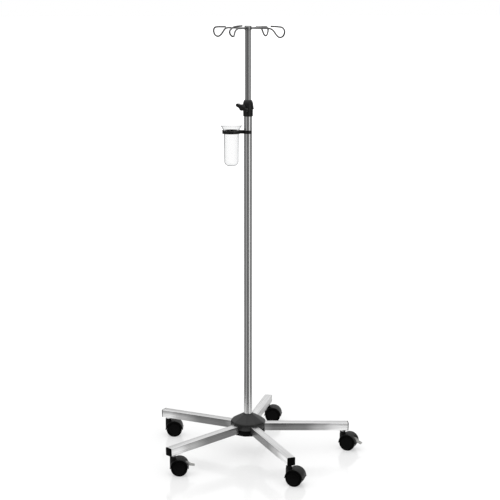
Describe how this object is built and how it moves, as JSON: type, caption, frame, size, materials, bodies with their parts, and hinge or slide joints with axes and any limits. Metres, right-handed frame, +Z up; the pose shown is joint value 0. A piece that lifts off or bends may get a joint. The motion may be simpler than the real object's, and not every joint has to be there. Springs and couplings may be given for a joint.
{
  "type": "iv drip stand",
  "caption": "Rolling infusion stand with a five-legged caster base, a telescopic pole with a clamp collar, bag hooks and a drip cup in a clip-on holder.",
  "frame": {"origin": "on the floor, under the middle of the whole object's footprint", "axes": "+Z up along the pole, +X along leg 1; the pole axis is at x = -48.8 mm, y = 8.6 mm"},
  "size_m": [0.6315, 0.6412, 1.3387],
  "materials": {
    "brushed_steel": "brushed along the tube",
    "bright_steel": "zinc plated",
    "chrome_wire": "polished",
    "cast_aluminium": "as cast",
    "black_plastic": "fine satin grain",
    "wheel_black": "satin",
    "grey_plastic": "satin",
    "clear_plastic": "clear"
  },
  "bodies": {
    "base": {"leg_1": "brushed_steel", "end_cap_1": "black_plastic", "caster_stem_1": "bright_steel", "leg_2": "brushed_steel", "end_cap_2": "black_plastic", "caster_stem_2": "bright_steel", "leg_3": "brushed_steel", "end_cap_3": "black_plastic", "caster_stem_3": "bright_steel", "leg_4": "brushed_steel", "end_cap_4": "black_plastic", "caster_stem_4": "bright_steel", "leg_5": "brushed_steel", "end_cap_5": "black_plastic", "caster_stem_5": "bright_steel", "hub_core": "cast_aluminium", "hub_upper_cover": "black_plastic", "hub_lower_cover": "black_plastic", "pole_bolt": "bright_steel", "bolt_washer": "bright_steel", "lower_tube": "brushed_steel", "pole_insert": "bright_steel", "clamp_collar": "black_plastic"},
    "caster_1": {"caster_hood_1": "black_plastic", "caster_axle_1": "bright_steel", "brake_pin_1": "bright_steel"},
    "wheel_left_1": {"wheel_left_1": "wheel_black"},
    "wheel_right_1": {"wheel_right_1": "wheel_black"},
    "brake_1": {"brake_lever_1": "grey_plastic"},
    "caster_2": {"caster_hood_2": "black_plastic", "caster_axle_2": "bright_steel"},
    "wheel_left_2": {"wheel_left_2": "wheel_black"},
    "wheel_right_2": {"wheel_right_2": "wheel_black"},
    "caster_3": {"caster_hood_3": "black_plastic", "caster_axle_3": "bright_steel"},
    "wheel_left_3": {"wheel_left_3": "wheel_black"},
    "wheel_right_3": {"wheel_right_3": "wheel_black"},
    "caster_4": {"caster_hood_4": "black_plastic", "caster_axle_4": "bright_steel", "brake_pin_4": "bright_steel"},
    "wheel_left_4": {"wheel_left_4": "wheel_black"},
    "wheel_right_4": {"wheel_right_4": "wheel_black"},
    "brake_4": {"brake_lever_4": "grey_plastic"},
    "caster_5": {"caster_hood_5": "black_plastic", "caster_axle_5": "bright_steel"},
    "wheel_left_5": {"wheel_left_5": "wheel_black"},
    "wheel_right_5": {"wheel_right_5": "wheel_black"},
    "slider": {"guide_bush": "black_plastic"},
    "mast": {"upper_tube": "brushed_steel", "hook_head": "bright_steel", "hook_1": "chrome_wire", "hook_2": "chrome_wire", "hook_3": "chrome_wire", "hook_4": "chrome_wire"},
    "pad": {"pressure_pad": "grey_plastic"},
    "screw": {"clamp_screw": "bright_steel", "wing_knob": "black_plastic"},
    "holder": {"cup_holder": "black_plastic"},
    "cup": {"drip_cup": "clear_plastic"}
  },
  "joints": [
    {"name": "caster_1_swivel", "type": "hinge", "parent": "base", "child": "caster_1", "pos_m": [0.25521, 0.00863, 0.0625], "axis": [0, 0, 1], "continuous": true},
    {"name": "wheel_left_1_spin", "type": "hinge", "parent": "caster_1", "child": "wheel_left_1", "pos_m": [0.27303, -0.00045, 0.0254], "axis": [0.454, 0.891, 0], "continuous": true},
    {"name": "wheel_right_1_spin", "type": "hinge", "parent": "caster_1", "child": "wheel_right_1", "pos_m": [0.27303, -0.00045, 0.0254], "axis": [0.454, 0.891, 0], "continuous": true},
    {"name": "brake_1_press", "type": "hinge", "parent": "caster_1", "child": "brake_1", "pos_m": [0.28461, -0.00635, 0.0394], "axis": [0.454, 0.891, 0], "range_deg": [-12, 0]},
    {"name": "caster_2_swivel", "type": "hinge", "parent": "base", "child": "caster_2", "pos_m": [0.04515, 0.29775, 0.0625], "axis": [0, 0, 1], "continuous": true},
    {"name": "wheel_left_2_spin", "type": "hinge", "parent": "caster_2", "child": "wheel_left_2", "pos_m": [0.06468, 0.29342, 0.0254], "axis": [0.2164, 0.9763, 0], "continuous": true},
    {"name": "wheel_right_2_spin", "type": "hinge", "parent": "caster_2", "child": "wheel_right_2", "pos_m": [0.06468, 0.29342, 0.0254], "axis": [0.2164, 0.9763, 0], "continuous": true},
    {"name": "caster_3_swivel", "type": "hinge", "parent": "base", "child": "caster_3", "pos_m": [-0.29473, 0.18732, 0.0625], "axis": [0, 0, 1], "continuous": true},
    {"name": "wheel_left_3_spin", "type": "hinge", "parent": "caster_3", "child": "wheel_left_3", "pos_m": [-0.27482, 0.1854, 0.0254], "axis": [0.0958, 0.9954, 0], "continuous": true},
    {"name": "wheel_right_3_spin", "type": "hinge", "parent": "caster_3", "child": "wheel_right_3", "pos_m": [-0.27482, 0.1854, 0.0254], "axis": [0.0958, 0.9954, 0], "continuous": true},
    {"name": "caster_4_swivel", "type": "hinge", "parent": "base", "child": "caster_4", "pos_m": [-0.29473, -0.17006, 0.0625], "axis": [0, 0, 1], "continuous": true},
    {"name": "wheel_left_4_spin", "type": "hinge", "parent": "caster_4", "child": "wheel_left_4", "pos_m": [-0.27482, -0.17197, 0.0254], "axis": [0.0958, 0.9954, 0], "continuous": true},
    {"name": "wheel_right_4_spin", "type": "hinge", "parent": "caster_4", "child": "wheel_right_4", "pos_m": [-0.27482, -0.17197, 0.0254], "axis": [0.0958, 0.9954, 0], "continuous": true},
    {"name": "brake_4_press", "type": "hinge", "parent": "caster_4", "child": "brake_4", "pos_m": [-0.26188, -0.17322, 0.0394], "axis": [0.0958, 0.9954, 0], "range_deg": [0, 12]},
    {"name": "caster_5_swivel", "type": "hinge", "parent": "base", "child": "caster_5", "pos_m": [0.04515, -0.28049, 0.0625], "axis": [0, 0, 1], "continuous": true},
    {"name": "wheel_left_5_spin", "type": "hinge", "parent": "caster_5", "child": "wheel_left_5", "pos_m": [0.06328, -0.28894, 0.0254], "axis": [0.4226, 0.9063, 0], "continuous": true},
    {"name": "wheel_right_5_spin", "type": "hinge", "parent": "caster_5", "child": "wheel_right_5", "pos_m": [0.06328, -0.28894, 0.0254], "axis": [0.4226, 0.9063, 0], "continuous": true},
    {"name": "mast_height", "type": "slide", "parent": "base", "child": "slider", "axis": [0, 0, 1], "range_m": [-0.18, 0.6]},
    {"name": "mast_turn", "type": "hinge", "parent": "slider", "child": "mast", "pos_m": [-0.04879, 0.00863, 1.05], "axis": [0, 0, 1], "continuous": true},
    {"name": "pad_travel", "type": "slide", "parent": "base", "child": "pad", "axis": [-0.7716, -0.6361, 0], "range_m": [0, 0.0019]},
    {"name": "knob_turn", "type": "hinge", "parent": "pad", "child": "screw", "pos_m": [-0.06422, -0.00409, 1.093], "axis": [-0.7716, -0.6361, 0], "range_deg": [0, 540]},
    {"name": "holder_height", "type": "slide", "parent": "base", "child": "holder", "axis": [0, 0, 1], "range_m": [-0.75, 0.01]},
    {"name": "cup_lift", "type": "slide", "parent": "holder", "child": "cup", "axis": [0, 0, 1], "range_m": [0, 0.03]}
  ],
  "couplings": [
    {"joint": "pad_travel", "follows": "knob_turn", "m_per_rad": 0.00019894}
  ]
}
